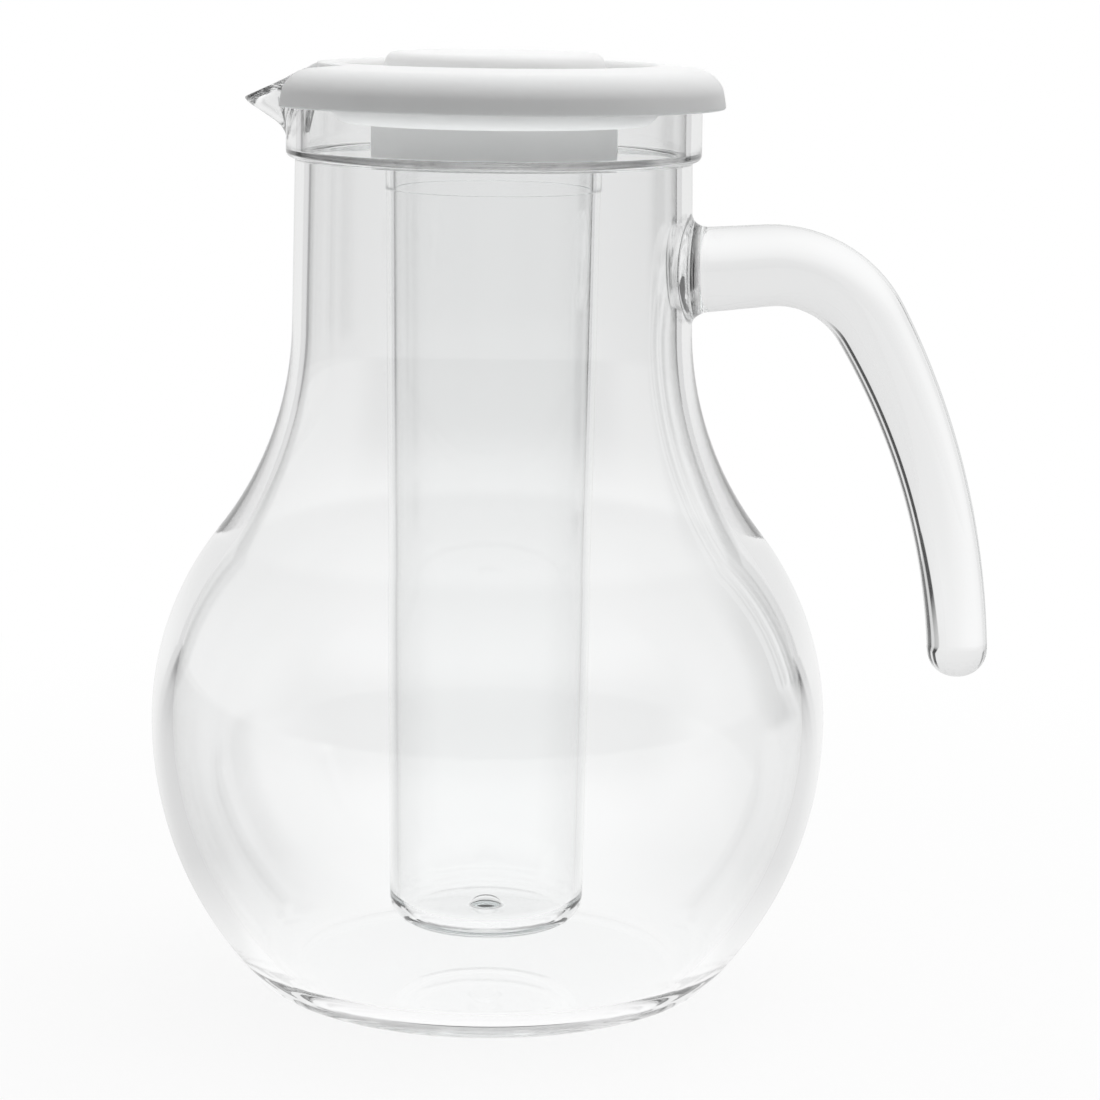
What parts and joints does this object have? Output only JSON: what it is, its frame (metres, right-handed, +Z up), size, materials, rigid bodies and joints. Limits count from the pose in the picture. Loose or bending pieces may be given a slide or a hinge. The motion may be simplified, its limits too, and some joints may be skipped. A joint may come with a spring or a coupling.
{
  "type": "pitcher with ice core",
  "caption": "Clear bulb-shaped pitcher with pouring spout, open hook handle, round lid with a pinch knob, and a removable ice tube that screws under the lid.",
  "frame": {"origin": "centre of the flat base, on the jug's axis", "axes": "+Z up along the jug's axis, spout towards -X, handle towards +X"},
  "size_m": [0.1995, 0.1606, 0.2228],
  "materials": {
    "clear_jug": "clear polished",
    "clear_handle": "clear polished",
    "white_lid": "satin moulded",
    "seal": "matte translucent",
    "clear_tube": "clear polished"
  },
  "bodies": {
    "jug": {"jug": "clear_jug", "handle": "clear_handle"},
    "lid": {"lid": "white_lid"},
    "core_seal": {"core_seal": "seal"},
    "ice_tube": {"ice_tube": "clear_tube"}
  },
  "joints": [
    {"name": "lid_lift", "type": "slide", "parent": "jug", "child": "lid", "axis": [0, 0, 1], "range_m": [0, 0.215]},
    {"name": "core_lower", "type": "slide", "parent": "lid", "child": "core_seal", "axis": [0, 0, -1], "range_m": [0, 0.0041]},
    {"name": "core_unscrew", "type": "hinge", "parent": "core_seal", "child": "ice_tube", "pos_m": [0, 0, 0.2], "axis": [0, 0, -1], "range_deg": [0, 360]}
  ],
  "couplings": [
    {"joint": "core_lower", "follows": "core_unscrew", "m_per_rad": 0.00063662}
  ]
}
